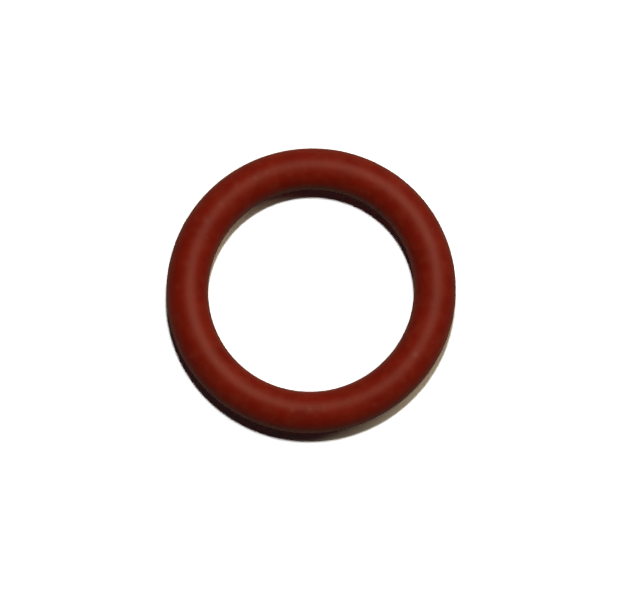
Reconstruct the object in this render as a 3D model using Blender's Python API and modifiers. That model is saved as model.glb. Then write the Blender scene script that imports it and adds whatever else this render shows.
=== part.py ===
"""Seal ring for the water fittings of a coffee machine, lying flat as on a bench.

It is one piece of moulded silicone rubber: a ring of round section that is squeezed between a spigot
and its socket. The two halves of its mould met at mid height. What trimming left of the thin web of
rubber between them stands a hair proud as a witness line, once round the outside and once round
the bore.

Units are metres and +Z is up. The origin is the centre of the ring, on its axis and in the plane
where the halves of the mould met.
"""

import math

import bmesh
import bpy

# The two sizes that such a ring is ordered by: its bore when free, and its round section.
BORE_DIAMETER = 0.0100
SECTION_DIAMETER = 0.0020

# The witness line: its height above the round, the width of its trimmed land, and how far its
# flanks flare out on each side on the way down to the round.
WITNESS_HEIGHT = 0.00002
WITNESS_LAND = 0.00006
WITNESS_FLARE = 0.00003

# How finely the round is cut: facets in each quarter of the section, and steps in one turn.
ARC_FACETS = 8
TURN_STEPS = 96

# Brick-red iron oxide pigment in a matt rubber. Colour values are linear, as Blender takes them.
RUBBER_COLOUR = (0.195, 0.0150, 0.0050, 1.0)
RUBBER_ROUGHNESS = 0.62

COLLECTION_NAME = "coffee_machine_seal_ring"


def clear_scene():
    """Removes whatever the file opened with."""
    for obj in list(bpy.data.objects):
        bpy.data.objects.remove(obj, do_unlink=True)


def silicone_rubber():
    """The ring's material: coloured right through, with no metal and a soft sheen."""
    material = bpy.data.materials.new("red_silicone")
    material.use_nodes = True
    shader = material.node_tree.nodes["Principled BSDF"]
    shader.inputs["Base Color"].default_value = RUBBER_COLOUR
    shader.inputs["Roughness"].default_value = RUBBER_ROUGHNESS
    shader.inputs["Metallic"].default_value = 0.0
    material.diffuse_color = RUBBER_COLOUR
    return material


def outer_half_section():
    """Corners of the section's outer half, from top to bottom, as (outwards, up) from its centre.

    Facets touch the true round from outside, so the top and bottom ones are level and stand
    exactly one section diameter apart. Each quarter is one arc of corners that ends at the foot
    of the witness line's flank.
    """
    section_radius = SECTION_DIAMETER / 2
    half_facet = math.radians(45) / (ARC_FACETS + 1)
    corner_radius = section_radius / math.cos(half_facet)
    top_angle = math.radians(90) - half_facet
    foot_angle = math.asin((WITNESS_LAND / 2 + WITNESS_FLARE) / corner_radius)

    upper_quarter = []
    for i in range(ARC_FACETS + 1):
        angle = top_angle + (foot_angle - top_angle) * i / ARC_FACETS
        upper_quarter.append((corner_radius * math.cos(angle), corner_radius * math.sin(angle)))
    upper_quarter.append((section_radius + WITNESS_HEIGHT, WITNESS_LAND / 2))

    lower_quarter = [(outwards, -up) for outwards, up in reversed(upper_quarter)]
    return upper_quarter + lower_quarter


def section_profile():
    """The closed section at +X as (x, z): down its outer side, then up through the bore side."""
    centre_radius = (BORE_DIAMETER + SECTION_DIAMETER) / 2
    outer_half = outer_half_section()
    outer = [(centre_radius + outwards, up) for outwards, up in outer_half]
    inner = [(centre_radius - outwards, up) for outwards, up in reversed(outer_half)]
    return outer + inner


def profile_mesh(name, points):
    """A closed loop of edges through the (x, z) points, in the plane y = 0."""
    mesh = bpy.data.meshes.new(name)
    bm = bmesh.new()
    corners = [bm.verts.new((x, 0.0, z)) for x, z in points]
    for corner, following in zip(corners, corners[1:] + corners[:1]):
        bm.edges.new((corner, following))
    bm.to_mesh(mesh)
    bm.free()
    return mesh


def turned(name, points, material, collection):
    """An object whose profile is turned once round Z. A full turn closes on itself unmerged."""
    mesh = profile_mesh(name, points)
    mesh.materials.append(material)
    obj = bpy.data.objects.new(name, mesh)
    collection.objects.link(obj)
    screw = obj.modifiers.new("turn", "SCREW")
    screw.axis = "Z"
    screw.angle = math.radians(360)
    screw.steps = TURN_STEPS
    screw.render_steps = TURN_STEPS
    screw.use_merge_vertices = False
    screw.use_smooth_shade = True
    return obj


def main():
    clear_scene()
    collection = bpy.data.collections.new(COLLECTION_NAME)
    bpy.context.scene.collection.children.link(collection)
    turned("seal_ring", section_profile(), silicone_rubber(), collection)


main()
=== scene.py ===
# %% [markdown]
# # A seal ring from a coffee machine
#
# A seal ring looks like the simplest object there is: a round section carried once round a circle.
# What makes it look real is small. The rubber is matt but not dead, its pigment is a little uneven,
# dust clings to it, and a low line runs round it where the two halves of the mould met.
# The sections below build those in turn: first the form, then the finish, then the table and light.
#
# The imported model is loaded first. It fixes the size and place of everything that follows.

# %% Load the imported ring
import math

import bpy
import numpy as np
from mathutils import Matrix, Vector


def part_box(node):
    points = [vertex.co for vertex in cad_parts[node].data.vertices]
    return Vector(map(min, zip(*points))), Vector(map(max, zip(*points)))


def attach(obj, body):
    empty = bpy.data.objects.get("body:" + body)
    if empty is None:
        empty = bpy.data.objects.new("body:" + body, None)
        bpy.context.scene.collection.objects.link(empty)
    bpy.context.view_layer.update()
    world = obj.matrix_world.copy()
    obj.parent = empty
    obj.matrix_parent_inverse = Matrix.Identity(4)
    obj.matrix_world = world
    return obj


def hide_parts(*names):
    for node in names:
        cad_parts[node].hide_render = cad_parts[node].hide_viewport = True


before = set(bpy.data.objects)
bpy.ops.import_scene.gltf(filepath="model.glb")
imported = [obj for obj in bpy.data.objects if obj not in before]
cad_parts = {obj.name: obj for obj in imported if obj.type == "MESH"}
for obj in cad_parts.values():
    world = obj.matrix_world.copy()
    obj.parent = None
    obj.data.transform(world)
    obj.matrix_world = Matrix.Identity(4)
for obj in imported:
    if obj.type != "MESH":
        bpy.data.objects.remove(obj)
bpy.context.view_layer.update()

MM = 0.001
print("packed nodes:", sorted(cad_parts))

# %% [markdown]
# ## Sizes
#
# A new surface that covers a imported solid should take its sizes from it, so that it still fits when
# the solid changes. The ring's box gives two of them. Its height is the diameter of the section.
# Half its width is the radius out to the witness line, which stands a little proud of the section,
# so the line's height comes off before the radius of the centre line is known.

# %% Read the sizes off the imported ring
ring_low, ring_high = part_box("seal_ring")
WITNESS_HEIGHT = 0.02 * MM
SECTION_RADIUS = (ring_high.z - ring_low.z) / 2
CENTRE_RADIUS = (ring_high.x - ring_low.x) / 2 - WITNESS_HEIGHT - SECTION_RADIUS
TABLE_HEIGHT = ring_low.z
print(f"section {2 * SECTION_RADIUS / MM:.2f} mm, centre line radius {CENTRE_RADIUS / MM:.2f} mm")

# %% [markdown]
# ## Where to measure the surface
#
# Any point of the ring is named by two angles: the turn round the ring's axis, and the turn round
# its section, which starts at the outside. A grid of both angles gives every point at once.
# The witness line is only a tenth of the section's width, so an even grid would cut it into about
# four coarse steps. Instead of adding points everywhere, the section angle is warped: t - c/2 sin 2t
# moves slowly near 0 and half a turn, where the line runs, and faster over the crest and underside.

# %% Lay out the grid of angles
TURN_POINTS = 768
SECTION_POINTS = 128
CROWDING = 0.8  # c in the formula above: 0 leaves the grid even

turn = np.linspace(0, 2 * math.pi, TURN_POINTS, endpoint=False)[:, None]
even = np.linspace(0, 2 * math.pi, SECTION_POINTS, endpoint=False)[None, :]
around = even - CROWDING / 2 * np.sin(2 * even)
even_step = SECTION_RADIUS * 2 * math.pi / SECTION_POINTS
print(f"{TURN_POINTS * SECTION_POINTS} points")
print(f"{(1 - CROWDING) * even_step / MM:.3f} mm apart at the witness line, not {even_step / MM:.3f}")

# %% [markdown]
# ## Unevenness that closes on itself
#
# Rubber is never quite as round as its drawing. Random numbers along the ring would leave a jump
# where the last point meets the first. A sum of waves that each fit a whole number of times round
# the ring has no such seam. Each wave gets a random start, and a finer wave gets a smaller share.
# The seed is fixed, so the ring is the same one every time.

# %% Waves round the ring
def waves_round(turn_angle, coarsest, finest, fall, seed):
    """Uneven values between about -1 and 1 that join up after one turn.

    It is the sum of cos(k * angle + start) / k ** fall over whole numbers k from coarsest to
    finest, with a seeded random start for each, divided by the size of its largest value.
    """
    rng = np.random.default_rng(seed)
    k = np.arange(coarsest, finest + 1)
    start = rng.uniform(0, 2 * math.pi, k.size)
    total = (np.cos(turn_angle * k + start) / k ** fall).sum(axis=1, keepdims=True)
    return total / np.abs(total).max()


sample = waves_round(turn, coarsest=2, finest=9, fall=1.0, seed=1)[:, 0]
print(f"step over the seam {abs(sample[0] - sample[-1]):.3f}")
print(f"largest step elsewhere {np.abs(np.diff(sample)).max():.3f}")

# %% [markdown]
# ## The witness line
#
# Where the mould halves meet, a web of rubber squeezes out and is trimmed off in a tumbling drum.
# What stays is a low ridge, mostly even and lower where the web tore deep. It could be a bump in the
# material, but it shows on the outline when the ring is seen from the side, so it is real geometry.
# Across, the ridge is exp(-(height / half width) ** 2), a bell that rises out of the round with no
# crease. Along, its height follows fine waves, cut down where a second set of waves peaks.
# The outside and the bore were trimmed apart from each other, so each gets waves of its own.

# %% Shape the witness line
WITNESS_HALF_WIDTH = 0.10 * MM
RAGGED_SHARE = 0.10
TORN_SHARE = 0.20
TORN_FROM = 0.45
TORN_FULLY = 0.85
OUTSIDE_SEED = 11
BORE_SEED = 23


def trimmed_edge(turn_angle, seed):
    """Height of the ridge along the ring, as a share of its full height.

    It is 1 - RAGGED_SHARE * (1 + fine waves) / 2, less a share that grows to TORN_SHARE as other
    waves rise from TORN_FROM to TORN_FULLY.
    """
    fine = waves_round(turn_angle, coarsest=16, finest=90, fall=0.7, seed=seed)
    deep = waves_round(turn_angle, coarsest=8, finest=50, fall=0.7, seed=seed + 1)
    torn = np.clip((deep - TORN_FROM) / (TORN_FULLY - TORN_FROM), 0, 1)
    return 1 - RAGGED_SHARE * (1 + fine) / 2 - TORN_SHARE * torn


def witness_line(turn_angle, section_angle):
    """How far the surface stands out of the round: the ridge across times its height along."""
    height_on_ring = SECTION_RADIUS * np.sin(section_angle)
    across = np.exp(-((height_on_ring / WITNESS_HALF_WIDTH) ** 2))
    outside = trimmed_edge(turn_angle, OUTSIDE_SEED)
    inside = trimmed_edge(turn_angle, BORE_SEED)
    along = np.where(np.cos(section_angle) > 0, outside, inside)
    return WITNESS_HEIGHT * along * across


ridge = witness_line(turn, around)
print(f"witness line {ridge[:, 0].min() / MM:.3f} to {ridge[:, 0].max() / MM:.3f} mm high")

# %% [markdown]
# ## The whole surface
#
# A soft ring never lies perfectly round. In the picture this one's radius is three hundredths of a
# millimetre more towards the lower left and upper right, and as much less towards the other two
# corners, and its section swells and thins by a few thousandths. Both go into one formula. The point
# at turn u and section angle v lies at distance C + S cos v from the axis and at height S sin v,
# where C is the radius of the centre line and S the radius of the section at that place.

# %% Work out every point of the ring
OUT_OF_ROUND = 0.03 * MM
LONG_WAY = math.radians(45)
SWELL = 0.005 * MM


def ring_points(turn_angle, section_angle):
    """Points of the ring as an array of (turn, section, xyz), by the formula in the text above.

    C = CENTRE_RADIUS + OUT_OF_ROUND * cos 2(u - LONG_WAY), and S = SECTION_RADIUS + half of
    SWELL * (coarse waves * cos v + finer waves * sin v squared) + the witness line.
    """
    centre = CENTRE_RADIUS + OUT_OF_ROUND * np.cos(2 * (turn_angle - LONG_WAY))
    sideways = waves_round(turn_angle, coarsest=2, finest=9, fall=1.0, seed=5)
    upright = waves_round(turn_angle, coarsest=3, finest=24, fall=1.0, seed=6)
    swell = sideways * np.cos(section_angle) + upright * np.sin(section_angle) ** 2
    section = SECTION_RADIUS + SWELL * swell / 2 + witness_line(turn_angle, section_angle)
    out = centre + section * np.cos(section_angle)
    up = section * np.sin(section_angle)
    return np.stack([out * np.cos(turn_angle), out * np.sin(turn_angle), up], axis=-1)


points = ring_points(turn, around)
print("spread in mm:", np.round(np.ptp(points.reshape(-1, 3), axis=0) / MM, 3))

# %% [markdown]
# ## From points to a mesh
#
# The grid closes both ways, so each quad joins a point to its neighbours with the indices rolled by
# one, and the last row joins the first with no seam. Going along the turn before going up the
# section makes the faces point outwards. The mesh takes whole arrays, with no loop over its points.

# %% Build the ring's mesh
def closed_grid_mesh(name, grid_points):
    """A smooth mesh of quads over a grid of points that closes on itself both ways.

    Quad (i, j) has the corners (i, j), (i + 1, j), (i + 1, j + 1) and (i, j + 1).
    """
    index = np.arange(grid_points.shape[0] * grid_points.shape[1]).reshape(grid_points.shape[:2])
    along = np.roll(index, -1, axis=0)
    up = np.roll(index, -1, axis=1)
    both = np.roll(along, -1, axis=1)
    quads = np.stack([index, along, both, up], axis=-1).reshape(-1, 4)
    mesh = bpy.data.meshes.new(name)
    mesh.from_pydata(grid_points.reshape(-1, 3), [], quads, shade_flat=False)
    mesh.validate()
    mesh.update()
    return mesh


ring_mesh = closed_grid_mesh("rubber_ring", points)
rubber_ring = bpy.data.objects.new("rubber_ring", ring_mesh)
bpy.context.scene.collection.objects.link(rubber_ring)
print(len(ring_mesh.vertices), "points,", 2 * len(ring_mesh.polygons), "triangles")

# %% [markdown]
# ## Dust and bloom
#
# Silicone holds a static charge, so it is never clean for long. The picture shows a few pale flecks
# on the crest, each about a quarter of a millimetre across. Painting them needs no picture: a fleck
# is a place on the ring, a size and a strength. Its paleness falls off as
# exp(-(distance / size) ** 2), and the strongest fleck wins where two meet. The result is stored on
# the mesh as one number for each point, which the material reads. Some flecks sit where the picture
# shows them, and the rest are seeded all over, so the underside isn't cleaner than the crest.

# %% Scatter the flecks
SEEN_FLECKS = (
    # turn in degrees, section angle in degrees, size in mm, strength
    (-33.5, 88, 0.13, 0.45),
    (-84.0, 86, 0.10, 0.22),
    (-90.5, 89, 0.10, 0.38),
    (-98.6, 83, 0.12, 0.36),
    (111.0, 88, 0.11, 0.22),
    (116.8, 91, 0.13, 0.28),
    (126.0, 80, 0.12, 0.22),
    (137.0, 91, 0.14, 0.30),
    (147.2, 88, 0.12, 0.22),
)
MORE_FLECKS = 26
FLECK_SEED = 41
LEAST_SIZE, MOST_SIZE = 0.05, 0.11
LEAST_STRENGTH, MOST_STRENGTH = 0.10, 0.28


def fleck_list():
    """Turns, section angles, sizes and strengths: the seen flecks, then seeded ones all over."""
    rng = np.random.default_rng(FLECK_SEED)
    more = np.stack([
        rng.uniform(0, 360, MORE_FLECKS),
        rng.uniform(0, 360, MORE_FLECKS),
        rng.uniform(LEAST_SIZE, MOST_SIZE, MORE_FLECKS),
        rng.uniform(LEAST_STRENGTH, MOST_STRENGTH, MORE_FLECKS),
    ], axis=1)
    flecks = np.concatenate([np.array(SEEN_FLECKS), more])
    return np.radians(flecks[:, 0]), np.radians(flecks[:, 1]), flecks[:, 2] * MM, flecks[:, 3]


def fleck_paleness(grid_points):
    """For each point, the largest strength * exp(-(distance to the fleck / its size) ** 2)."""
    palest = np.zeros(grid_points.shape[:2])
    for fleck_turn, fleck_around, size, strength in zip(*fleck_list()):
        out = CENTRE_RADIUS + SECTION_RADIUS * math.cos(fleck_around)
        up = SECTION_RADIUS * math.sin(fleck_around)
        place = np.array([out * math.cos(fleck_turn), out * math.sin(fleck_turn), up])
        distance = np.linalg.norm(grid_points - place, axis=-1)
        palest = np.maximum(palest, strength * np.exp(-((distance / size) ** 2)))
    return palest


paleness = fleck_paleness(points)
flecks = ring_mesh.attributes.new("flecks", "FLOAT", "POINT")
flecks.data.foreach_set("value", paleness.ravel().astype(np.float32))
print(f"{len(SEEN_FLECKS) + MORE_FLECKS} flecks, the palest {paleness.max():.2f}")

# %% [markdown]
# ## Helpers for node materials
#
# A material is a tree of nodes, and one link to a line makes it long to read. A few small helpers
# do the wiring, so that each material below reads like a recipe. A colour that varies comes as a
# socket and one that doesn't as a plain tuple, and the helper that mixes two colours takes either.

# %% Define the helpers
# A Mix node has a pair of inputs for each kind of data, found by number. These are its colours.
FIRST_COLOUR, SECOND_COLOUR, MIXED_COLOUR = 6, 7, 2


def add_node(tree, kind, **settings):
    """A new node of this kind, with the settings given as its properties."""
    node = tree.nodes.new(kind)
    for name, value in settings.items():
        setattr(node, name, value)
    return node


def noise_on_object(tree, features_per_metre, detail):
    """The value of a noise texture on Object coordinates, as a socket."""
    place = add_node(tree, "ShaderNodeTexCoord")
    noise = add_node(tree, "ShaderNodeTexNoise")
    noise.inputs["Scale"].default_value = features_per_metre
    noise.inputs["Detail"].default_value = detail
    tree.links.new(place.outputs["Object"], noise.inputs["Vector"])
    return noise.outputs["Fac"]


def mapped(tree, value, from_low, from_high, to_low, to_high):
    """value stretched from one range to another, and held inside the second."""
    node = add_node(tree, "ShaderNodeMapRange")
    tree.links.new(value, node.inputs["Value"])
    node.inputs["From Min"].default_value = from_low
    node.inputs["From Max"].default_value = from_high
    node.inputs["To Min"].default_value = to_low
    node.inputs["To Max"].default_value = to_high
    return node.outputs["Result"]


def blended(tree, share, first, second):
    """The mix of two colours, each a tuple or a socket: first + share * (second - first)."""
    node = add_node(tree, "ShaderNodeMix", data_type="RGBA")
    tree.links.new(share, node.inputs["Factor"])
    for number, colour in ((FIRST_COLOUR, first), (SECOND_COLOUR, second)):
        if isinstance(colour, tuple):
            node.inputs[number].default_value = colour
        else:
            tree.links.new(colour, node.inputs[number])
    return node.outputs[MIXED_COLOUR]


print("helpers for nodes, noise, ranges and mixes are ready")

# %% [markdown]
# ## Red silicone
#
# The colour is iron oxide mixed right through the rubber. Three things keep it from looking like
# paint: the pigment varies a little over about a millimetre, a faint bloom lightens it in patches of
# half a millimetre and makes the sheen uneven, and the mould left a grain far finer than both.
# All three are noise on Object coordinates, so the pattern sits in the rubber and doesn't slide.
# The ring is only 14 mm wide, so the noise scales look large: they are features in each metre.
# What is the same all over, such as the weak gloss of rubber, is set on the shader itself.

# %% Mix the red silicone
DEEP_RED = (0.170, 0.0062, 0.0014, 1.0)
WARM_RED = (0.208, 0.0100, 0.0024, 1.0)
BLOOM_RED = (0.228, 0.0320, 0.0150, 1.0)
DUST = (0.360, 0.1900, 0.1300, 1.0)
BLOOM_SHARE = 0.35
DUST_SHARE = 0.30
NOISE_LOW, NOISE_HIGH = 0.3, 0.7
BLOOM_FROM, BLOOM_FULLY = 0.45, 0.75
PIGMENT_PER_METRE, PIGMENT_DETAIL = 900, 3.0
BLOOM_PER_METRE, BLOOM_DETAIL = 1900, 2.0
GRAIN_PER_METRE, GRAIN_DETAIL = 24000, 2.0
GRAIN_DEPTH = 0.0025 * MM
GRAIN_STRENGTH = 0.5
SPECULAR_LEVEL = 0.14
SMOOTHEST, ROUGHEST = 0.42, 0.48


def red_silicone():
    """Matt red rubber with uneven pigment, patches of bloom, dust flecks and a fine grain.

    Nearly all values of the noise lie between NOISE_LOW and NOISE_HIGH. Bloom shows only where
    its noise is above BLOOM_FROM.
    """
    material = bpy.data.materials.new("red_silicone_rubber")
    material.use_nodes = True
    tree = material.node_tree
    shader = tree.nodes["Principled BSDF"]
    shader.inputs["Metallic"].default_value = 0.0
    shader.inputs["Specular IOR Level"].default_value = SPECULAR_LEVEL

    pigment_noise = noise_on_object(tree, PIGMENT_PER_METRE, PIGMENT_DETAIL)
    bloom_noise = noise_on_object(tree, BLOOM_PER_METRE, BLOOM_DETAIL)
    grain_noise = noise_on_object(tree, GRAIN_PER_METRE, GRAIN_DETAIL)
    pigment = mapped(tree, pigment_noise, NOISE_LOW, NOISE_HIGH, 0, 1)
    bloom = mapped(tree, bloom_noise, BLOOM_FROM, BLOOM_FULLY, 0, BLOOM_SHARE)
    dust = add_node(tree, "ShaderNodeAttribute", attribute_name="flecks").outputs["Fac"]

    colour = blended(tree, pigment, DEEP_RED, WARM_RED)
    colour = blended(tree, bloom, colour, BLOOM_RED)
    colour = blended(tree, mapped(tree, dust, 0, 1, 0, DUST_SHARE), colour, DUST)
    tree.links.new(colour, shader.inputs["Base Color"])

    roughness = mapped(tree, bloom_noise, NOISE_LOW, NOISE_HIGH, SMOOTHEST, ROUGHEST)
    tree.links.new(roughness, shader.inputs["Roughness"])

    bump = add_node(tree, "ShaderNodeBump")
    bump.inputs["Strength"].default_value = GRAIN_STRENGTH
    bump.inputs["Distance"].default_value = GRAIN_DEPTH
    tree.links.new(grain_noise, bump.inputs["Height"])
    tree.links.new(bump.outputs["Normal"], shader.inputs["Normal"])
    return material


ring_mesh.materials.append(red_silicone())
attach(rubber_ring, "root")
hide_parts("seal_ring")
print("the ring wears", ring_mesh.materials[0].name)

# %% [markdown]
# ## The table
#
# The ring lies on white paper that burns out in the picture, so only its shadow has any tone.
# Turning the lamps up would burn the rubber too. Instead the paper has three colours, and Light Path
# tells the rays apart. To the camera it is brighter than white, so it burns out wherever a lamp
# reaches it. The shadow stays, because the paper still shines by the light of the lamps alone.
# For gloss and for the light that it throws back it is grey, because the flanks of the ring that face
# down are dark in the picture. The sheet is small: further out the lamps fade, so past its edge the
# world takes over, which is plain white to the camera.

# %% Lay the white paper
PAPER_HALF_SIDE = 45 * MM
PAPER_BOUNCE = (0.40, 0.40, 0.40, 1.0)
PAPER_IN_GLOSS = (0.44, 0.42, 0.36, 1.0)
PAPER_SEEN = (1.65, 1.71, 1.98, 1.0)


def by_ray(tree, in_light, in_gloss, to_camera):
    """One of three colours, by the kind of ray that arrives.

    A gloss ray gets in_gloss. A ray from the camera, straight or through glass, gets to_camera:
    the larger of the two is 1. Any other ray carries light and gets in_light.
    """
    rays = add_node(tree, "ShaderNodeLightPath")
    seen = add_node(tree, "ShaderNodeMath", operation="MAXIMUM")
    tree.links.new(rays.outputs["Is Camera Ray"], seen.inputs[0])
    tree.links.new(rays.outputs["Is Transmission Ray"], seen.inputs[1])
    colour = blended(tree, rays.outputs["Is Glossy Ray"], in_light, in_gloss)
    return blended(tree, seen.outputs["Value"], colour, to_camera)


def white_paper():
    """A plain diffuse white, brighter to the rays that look at it."""
    material = bpy.data.materials.new("white_paper")
    material.use_nodes = True
    tree = material.node_tree
    tree.nodes.remove(tree.nodes["Principled BSDF"])
    diffuse = add_node(tree, "ShaderNodeBsdfDiffuse")
    colour = by_ray(tree, PAPER_BOUNCE, PAPER_IN_GLOSS, PAPER_SEEN)
    tree.links.new(colour, diffuse.inputs["Color"])
    tree.links.new(diffuse.outputs["BSDF"], tree.nodes["Material Output"].inputs["Surface"])
    return material


ends = np.array([-PAPER_HALF_SIDE, PAPER_HALF_SIDE])
paper_x, paper_y = np.meshgrid(ends, ends)
paper_points = np.stack([paper_x, paper_y, np.full_like(paper_x, TABLE_HEIGHT)], axis=-1)
paper_mesh = bpy.data.meshes.new("paper")
paper_mesh.from_pydata(paper_points.reshape(-1, 3), [], [(0, 1, 3, 2)])
paper_mesh.materials.append(white_paper())
paper = bpy.data.objects.new("paper", paper_mesh)
bpy.context.scene.collection.objects.link(paper)
print(f"paper {2 * PAPER_HALF_SIDE / MM:.0f} mm wide at height {TABLE_HEIGHT / MM:.2f} mm")

# %% [markdown]
# ## Light
#
# No single lamp gives the light in the picture. The dark crescent of shadow is narrow and fairly
# sharp, so a small lamp stood almost overhead, a little behind the ring. The ends of the crescent
# are pale and olive brown: something warm, low and as broad as a window still reaches the paper
# there, from behind on the right. Those two lamps make the colour and the shadow.
#
# The sheen needs a third. It is one soft brown band that runs all the way round the crest, far
# broader than a small lamp would leave on it. Rubber this rough mirrors whatever is pale around it,
# above all a wall behind it. A third lamp stands for that wall. Only gloss sees it, and gloss sees
# nothing of the first two, so the sheen is tuned without any change to the colour or the shadow.
#
# The watts keep the light at a plain level: at 0.8 of the one that makes white paper just white,
# the rubber's colours come out about as they are written and nothing on it clips. What is left of
# the room is the world: dim in gloss, white to the camera, and as a light very dim and a little
# cool, because the red that the ring throws into its own shadow would tint it otherwise.

# %% Set the lamps and the room light
LAMP_DISTANCE = 0.30
CEILING_LAMP = {"turn": 84, "rise": 76, "side": 0.028, "watts": 0.58, "colour": (1.0, 0.96, 0.82)}
WINDOW = {"turn": 32, "rise": 37, "side": 0.20, "watts": 0.25, "colour": (1.0, 0.80, 0.46)}
PALE_WALL = {"turn": 52, "rise": 66, "side": 0.22, "watts": 0.90, "colour": (1.0, 0.82, 0.58)}
ROOM_LIGHT = (0.0002, 0.0036, 0.0034, 1.0)
ROOM_IN_GLOSS = (0.22, 0.22, 0.22, 1.0)
WHITE = (1.0, 1.0, 1.0, 1.0)


def soft_lamp(name, turn, rise, side, watts, colour):
    """A square lamp on a sphere round the origin, facing the origin, with its angles in degrees.

    Its place is LAMP_DISTANCE * (cos turn cos rise, sin turn cos rise, sin rise).
    """
    lamp = bpy.data.lights.new(name, "AREA")
    lamp.size = side
    lamp.energy = watts
    lamp.color = colour
    holder = bpy.data.objects.new(name, lamp)
    turn = math.radians(turn)
    rise = math.radians(rise)
    direction = Vector((
        math.cos(turn) * math.cos(rise),
        math.sin(turn) * math.cos(rise),
        math.sin(rise),
    ))
    holder.location = direction * LAMP_DISTANCE
    holder.rotation_euler = direction.to_track_quat("Z", "Y").to_euler()
    bpy.context.scene.collection.objects.link(holder)
    return holder


def level_on_paper(lamp):
    """How bright a lamp makes white paper: watts * sin(rise) / (pi * distance) squared."""
    return lamp["watts"] * math.sin(math.radians(lamp["rise"])) / (math.pi * LAMP_DISTANCE) ** 2


def room_light():
    """A world that is very dim as a light, dim in gloss and white to the camera."""
    world = bpy.data.worlds.new("room")
    world.use_nodes = True
    tree = world.node_tree
    colour = by_ray(tree, ROOM_LIGHT, ROOM_IN_GLOSS, WHITE)
    tree.links.new(colour, tree.nodes["Background"].inputs["Color"])
    bpy.context.scene.world = world


ceiling_lamp = soft_lamp("ceiling_lamp", **CEILING_LAMP)
window = soft_lamp("window", **WINDOW)
pale_wall = soft_lamp("pale_wall", **PALE_WALL)
ceiling_lamp.visible_glossy = False
window.visible_glossy = False
pale_wall.visible_diffuse = False
room_light()
bpy.context.scene.view_settings.view_transform = "Standard"
print(f"level on the paper {level_on_paper(CEILING_LAMP) + level_on_paper(WINDOW):.2f} of white")

# %% [markdown]
# ## Camera
#
# The picture looks almost straight down. Measured on it, the ring is a little less high than wide:
# once the section is taken off, by a factor of 0.984, which is the sine of the camera's elevation.
# The ring's width in pixels, witness line included, then sets how wide the view is, and the place
# of its centre in the frame sets where the camera points. Blender measures the lens against a 36 mm
# sensor, so the lens is 36 mm times the distance over the width of the view.

# %% Place the camera
PHOTO_WIDTH, PHOTO_HEIGHT = 617, 600
RING_WIDTH_PIXELS = 289.8
RING_CENTRE_PIXEL = (311.1, 290.3)
CAMERA_RISE = math.radians(79.6)
CAMERA_DISTANCE = 0.40
NEAREST_SEEN = CAMERA_DISTANCE / 10
FURTHEST_SEEN = CAMERA_DISTANCE * 100
SENSOR_WIDTH = 36.0

metres_per_pixel = 2 * (CENTRE_RADIUS + SECTION_RADIUS + WITNESS_HEIGHT) / RING_WIDTH_PIXELS
view_width = PHOTO_WIDTH * metres_per_pixel
across = (PHOTO_WIDTH / 2 - RING_CENTRE_PIXEL[0]) * metres_per_pixel
upwards = (RING_CENTRE_PIXEL[1] - PHOTO_HEIGHT / 2) * metres_per_pixel
aim = Vector((across, upwards / math.sin(CAMERA_RISE), 0.0))
backwards = Vector((0.0, -math.cos(CAMERA_RISE), math.sin(CAMERA_RISE)))

camera_data = bpy.data.cameras.new("camera")
camera_data.sensor_width = SENSOR_WIDTH
camera_data.lens = SENSOR_WIDTH * CAMERA_DISTANCE / view_width
camera_data.clip_start = NEAREST_SEEN
camera_data.clip_end = FURTHEST_SEEN
camera = bpy.data.objects.new("camera", camera_data)
camera.location = aim + backwards * CAMERA_DISTANCE
camera.rotation_euler = backwards.to_track_quat("Z", "Y").to_euler()
bpy.context.scene.collection.objects.link(camera)
bpy.context.scene.camera = camera
print(f"lens {camera_data.lens:.0f} mm, view {view_width / MM:.1f} mm wide")
